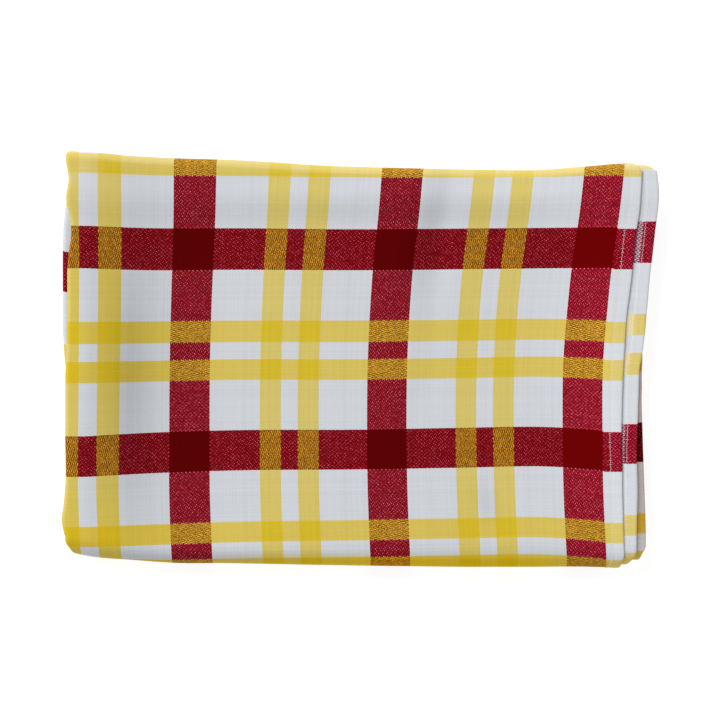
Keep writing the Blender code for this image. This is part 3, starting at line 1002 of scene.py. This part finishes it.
class Finish:
    """A material, with short names for the nodes that a weave needs."""

    def __init__(self, name):
        self.material = bpy.data.materials.new(name)
        self.material.use_nodes = True
        self.tree = self.material.node_tree
        self.shader = self.tree.nodes["Principled BSDF"]

    def feed(self, socket, value):
        if isinstance(value, Value):
            self.tree.links.new(value.socket, socket)
        else:
            socket.default_value = value

    def node(self, kind, inputs, output=0, **settings):
        """One output of a new node with these settings, its inputs fed by name or number."""
        node = self.tree.nodes.new("ShaderNode" + kind)
        for name, value in settings.items():
            setattr(node, name, value)
        for place, value in inputs.items():
            self.feed(node.inputs[place], value)
        return Value(self, node.outputs[output])

    def settle(self, inputs):
        """The shader's own inputs, and with them the finished material."""
        for name, value in inputs.items():
            self.feed(self.shader.inputs[name], value)
        return self.material

    def mix(self, share, first, second, blend="MIX"):
        inputs = {0: share, 6: first, 7: second}
        return self.node("Mix", inputs, 2, data_type="RGBA", blend_type=blend)

    def steps(self, share, stops):
        """A colour that jumps at each stop: stops are (start, colour) from 0 to 1."""
        ramp = self.node("ValToRGB", {0: share})
        colours = ramp.socket.node.color_ramp
        colours.interpolation = "CONSTANT"
        entries = colours.elements
        while len(entries) > 1:
            entries.remove(entries[-1])
        entries[0].position, entries[0].color = stops[0]
        for start, shade in stops[1:]:
            entries.new(start).color = shade
        return ramp

    def attribute(self, name):
        return self.node("Attribute", {}, "Fac", attribute_name=name)

    def random(self, first, second):
        """An even random number from 0 to 1 for each pair of whole numbers."""
        pair = self.node("CombineXYZ", {0: first, 1: second})
        return self.node("TexWhiteNoise", {"Vector": pair}, "Value", noise_dimensions="2D")

    def noise(self, vector, scale, detail):
        inputs = {"Vector": vector, "Scale": scale, "Detail": detail}
        return self.node("TexNoise", inputs, "Fac")


def yarn_at(thread, bands):
    """0, 1 or 2 for the white, yellow or red yarn of a thread, counted from a red band: the
    stops of a repeat's bands hold the yarn's number over two as a grey."""
    total = sum(count for _, count in bands)
    stops, start = [], 0
    for yarn, count in bands:
        stops.append((start / total, (0.5 * yarn,) * 3 + (1.0,)))
        start += count
    place = ((thread + 0.5) / float(total)).work("FRACT")
    return thread.finish.steps(place, stops) * 2.0


def differs(first, second):
    return (first - second).work("ABSOLUTE") > 0.5


def round_thread(place):
    """The cross profile of a thread from 0 at its edges to 1 on top: one less the square
    of twice the share of its width less one."""
    centred = place.work("FRACT") * 2.0 - 1.0
    return (centred * centred).rest()


class Weave(Finish):
    """A four-end broken twill. Each cell of the weave is one warp thread by one weft thread.

    The other yarn comes up in one cell of four: in the weft's rows 0, 1, 2, 3 it comes up
    at the warp's threads 0, 1, 3, 2. On the wrong side it comes up in two cells of four.
    """

    def __init__(self):
        super().__init__("check_weave")
        self.woven = self.node("UVMap", {}, uv_map="woven")
        warp_place = (self.node("SeparateXYZ", {0: self.woven}) - WARP_START) / WARP_PITCH
        weft_place = (self.node("SeparateXYZ", {0: self.woven}, 1) - WEFT_START) / WEFT_PITCH
        self.warp, self.weft = warp_place.floor(), weft_place.floor()
        self.warp_yarn = yarn_at(self.warp, WARP_BANDS)
        self.weft_yarn = yarn_at(self.weft, WEFT_BANDS)
        row = self.weft % 4.0
        off = (self.warp - (row + row.equals(2) - row.equals(3))) % 4.0
        self.fleck = off < 0.5
        self.wrong_fleck = off < 1.5
        self.warp_round = round_thread(warp_place)
        self.weft_round = round_thread(weft_place)
        self.cell_round = self.warp_round * self.weft_round
        red_threads = self.warp_yarn.equals(RED) + self.weft_yarn.equals(RED)
        self.all_red = red_threads > 1.5
        self.mixed = red_threads.equals(1)
        gold = self.warp_yarn.equals(YELLOW).most(self.weft_yarn.equals(YELLOW))
        self.ochre = self.mixed * gold
        self.all_gold = gold - self.ochre
        self.in_hem = self.attribute("from_edge") < HEM_WIDTH
        self.right_side = self.attribute("right_side") > 0.5
        self.chance = self.random(self.warp, self.weft)

    def slack_streaks(self):
        """More strength for flecks where a weft thread runs slack: short streaks along it."""
        place = {0: self.warp * STREAK_SCALES[0], 1: self.weft * STREAK_SCALES[1]}
        streaks = self.noise(self.node("CombineXYZ", place), 1.0, 1.0)
        return (streaks - STREAK_START).most(0.0) * STREAK_STRENGTH

    def shadow(self, thread, crossing):
        """Minus one to one: every other thread darker, by an amount that changes at random
        with every second thread that it crosses. With every fourth the dark turn light."""
        amount = self.random(thread, (crossing * 0.5).floor())
        amount = amount * (1.0 - SHADOW_LEAST) + SHADOW_LEAST
        side = (thread + (crossing * 0.25).floor()) % 2.0
        return amount * (side * 2.0 - 1.0)

    def fleck_share(self):
        """How much of the other yarn's colour a fleck shows on the right side. It varies at
        random, and is more where a thread runs slack, at a band's border and in a hem."""
        strength = self.chance**FLECK_POWER * FLECK_RANGE + FLECK_LEAST
        strength = strength + self.slack_streaks()
        before = yarn_at(self.weft - 1.0, WEFT_BANDS)
        after = yarn_at(self.weft + 1.0, WEFT_BANDS)
        border = differs(self.weft_yarn, before).most(differs(self.weft_yarn, after))
        strength = border * BORDER_FLECK + strength
        strength = self.in_hem * HEM_FLECK + strength
        strength = self.ochre * OCHRE_FLECK + strength
        return self.fleck * ((self.cell_round * FLECK_FULLNESS).least(1.0) * strength)

    def wrong_share(self):
        """How much of the other yarn's colour a fleck shows on the wrong side."""
        shown = (self.cell_round * WRONG_FLECK_FULLNESS).least(1.0)
        shown = shown * (self.chance * WRONG_FLECK_RANGE + WRONG_FLECK_LEAST)
        return (self.wrong_fleck * shown).least(1.0)

    def yarn_colours(self):
        """The colours of the two yarns that meet, on the side that shows. A hem's turned
        layers show the right side on both."""
        pair = (self.warp_yarn * 3.0 + self.weft_yarn + 0.5) / 9.0
        warps, wefts, *columns = zip(*YARN_ROWS)
        starts = [(3 * warp + weft) / 9.0 for warp, weft in zip(warps, wefts)]
        stops = [list(zip(starts, map(colour, column))) for column in columns]
        shades = [self.steps(pair, column) for column in stops]
        right = self.mix(self.fleck_share(), *shades[:2])
        wrong = self.mix(self.wrong_share(), *shades[2:])
        return self.mix(self.right_side.most(self.in_hem), wrong, right)

    def tone(self):
        """Light and dark about 1: each thread's own, wide patches, the painted shade and light
        of the hollows and the groove, each cell's own, the shadow between coloured threads,
        and painted shade in the furrows round every thread."""
        threads = self.random(self.warp, 7.0) + self.random(self.weft, 31.0)
        patches = self.noise(self.woven, PATCH_SCALE, 3.0)
        tone = threads * THREAD_TONE + (1.0 - THREAD_TONE)
        tone = tone * (patches * PATCH_TONE + (1.0 - 0.5 * PATCH_TONE))
        # Painted shade and light of the hollows and the groove.
        tone = tone * self.attribute("painted_shading").rest()
        spread = self.mixed * MIXED_SPREAD + (self.ochre * OCHRE_SPREAD + PLAIN_SPREAD)
        tone = tone * ((self.random(self.weft, self.warp) - 0.5) * spread + 1.0)
        by_weft = self.weft_yarn.equals(YELLOW).most(self.warp_yarn.equals(WHITE))
        shadow = by_weft * self.shadow(self.weft, self.warp)
        shadow = by_weft.rest() * self.shadow(self.warp, self.weft) + shadow
        depth = self.mixed * MIXED_SHADOW + self.ochre * OCHRE_SHADOW
        tone = tone * (shadow * depth + 1.0)
        # Painted shade in the furrows round every thread.
        return tone * (self.cell_round * FURROW_SHADE + (1.0 - 0.5 * FURROW_SHADE))

    def tinted(self, cloth):
        """The cloth's colour with its tints, among them painted sheen and painted shade. In
        the lee of a hem the painted shade counts the cloth's colour twice, as where only light
        that has already touched the cloth arrives."""
        red_hem = self.in_hem * self.mixed
        outer = self.right_side * (self.warp > OUTER_STRIPE_THREAD - 0.5)
        for share, tint, blend in (
            (red_hem, RED_HEM_TINT, "MULTIPLY"),
            ((self.in_hem - red_hem) * PALE_HEM, PALE_TINT, "MIX"),
            (outer * self.all_red, OUTER_RED_TINT, "MULTIPLY"),
            (outer * (self.mixed - red_hem.most(self.ochre)), OUTER_MIXED_TINT, "MULTIPLY"),
            # Painted sheen over the back fold, then painted shade round the front fold and on
            # the yellow.
            (self.attribute("painted_sheen") * self.mixed.rest(), PALE_TINT, "MIX"),
            (self.attribute("front_shade"), FRONT_SHADE_TINT, "MULTIPLY"),
            (self.attribute("yellow_shade") * self.all_gold, YELLOW_SHADE_TINT, "MULTIPLY"),
        ):
            cloth = self.mix(share, cloth, tint + (1.0,), blend)
        # Painted shade in the lee of the second hem: the colour counted twice, then tinted.
        lee_shaded = self.mix(1.0, cloth, cloth, "MULTIPLY")
        lee_shaded = self.mix(1.0, lee_shaded, LEE_SHADE_TINT + (1.0,), "MULTIPLY")
        return self.mix(self.attribute("lee_shade"), cloth, lee_shaded)

    def relief(self):
        """The height of the threads and of the cloth's small puckers, in metres."""
        lie = self.fleck.rest() * self.warp_round + self.fleck * self.weft_round
        pucker = self.noise(self.woven, PUCKER_SCALE, 2.0)
        return pucker * PUCKER_HEIGHT + lie * THREAD_HEIGHT


def weave_finish():
    """The check cloth: matte, with a faint fuzz."""
    weave = Weave()
    grey = weave.node("CombineColor", dict.fromkeys(range(3), weave.tone()))
    cloth = weave.tinted(weave.mix(1.0, weave.yarn_colours(), grey, "MULTIPLY"))
    bump = weave.node("Bump", {"Strength": 1.0, "Distance": 1.0, "Height": weave.relief()})
    matte = {"Roughness": 0.95, "Specular IOR Level": 0.03}
    fuzz = {"Sheen Weight": 0.015, "Sheen Roughness": 0.3}
    return weave.settle({"Base Color": cloth, "Normal": bump, **matte, **fuzz})


def thread_finish():
    """White cotton sewing thread with its ply as fine slanted bands."""
    finish = Finish("sewing_thread")
    inputs = {"Vector": finish.node("TexCoord", {}, "Object"), "Scale": PLY_SCALE}
    ply = finish.node("TexWave", inputs, "Fac", bands_direction="DIAGONAL")
    shade = finish.mix(ply, colour(PLY_DARK), colour(PLY_LIGHT))
    return finish.settle({"Base Color": shade, "Roughness": 0.8, "Specular IOR Level": 0.3})


# ----
# Floor, lights and camera.

FLOOR_HALF = 4.0
FLOOR_SHADE = 0.3
FLOOR_GLOW = 0.84
AIR_STRENGTH = 0.52
KEY_STRENGTH = 2.4
KEY_BREADTH = 0.6
KEY_FROM = (-0.48, 0.62, 0.62)
CAMERA_HEIGHT = 2.4
VIEW_WIDTH = 0.4392
SENSOR_WIDTH = 36.0


def make_floor():
    corners = FLOOR_HALF * np.array([(-1, -1, 0), (1, -1, 0), (1, 1, 0), (-1, 1, 0)])
    mesh = make_mesh("floor", corners, np.array([[0, 1, 2, 3]]))
    finish = Finish("plain_pale_floor").settle(
        {
            "Base Color": (FLOOR_SHADE,) * 3 + (1.0,),
            "Roughness": 1.0,
            "Specular IOR Level": 0.0,
            "Emission Color": (1.0, 1.0, 1.0, 1.0),
            "Emission Strength": FLOOR_GLOW,
        }
    )
    add_piece("floor", mesh, finish)


def make_lights():
    """An even white surround, and one broad far light from the left and behind."""
    world = bpy.data.worlds.new("studio_air")
    bpy.context.scene.world = world
    world.use_nodes = True
    sky = world.node_tree.nodes["Background"]
    sky.inputs["Color"].default_value = (1.0, 1.0, 1.0, 1.0)
    sky.inputs["Strength"].default_value = AIR_STRENGTH
    data = bpy.data.lights.new("key", "SUN")
    data.energy = KEY_STRENGTH
    data.angle = KEY_BREADTH
    light = bpy.data.objects.new("key", data)
    x, y, z = KEY_FROM
    light.rotation_euler = (math.atan2(math.hypot(x, y), z), 0.0, math.atan2(x, -y))
    bpy.context.scene.collection.objects.link(light)


def make_camera():
    data = bpy.data.cameras.new("camera")
    data.type = "PERSP"
    data.sensor_width = SENSOR_WIDTH
    data.lens = SENSOR_WIDTH * (CAMERA_HEIGHT - STACK_HEIGHT) / VIEW_WIDTH
    data.clip_start = 0.05
    data.clip_end = 20.0
    camera = bpy.data.objects.new("camera", data)
    camera.location = (0.0, 0.0, CAMERA_HEIGHT)
    bpy.context.scene.collection.objects.link(camera)
    bpy.context.scene.camera = camera


def main():
    clear_start_objects()
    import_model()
    solid_box = [list(corner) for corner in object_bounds()]
    bpy.context.scene.view_settings.view_transform = "Standard"
    make_camera()
    make_lights()
    make_floor()
    shift = np.array([CENTRE_SHIFT[0], CENTRE_SHIFT[1], solid_box[0][2]])
    cloth = make_cloth(shift, weave_finish())
    stitches = make_stitches(shift, thread_finish())
    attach(cloth, "root")
    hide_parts(CLOTH_NODE)
    for piece in stitches:
        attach(piece, "root")


main()
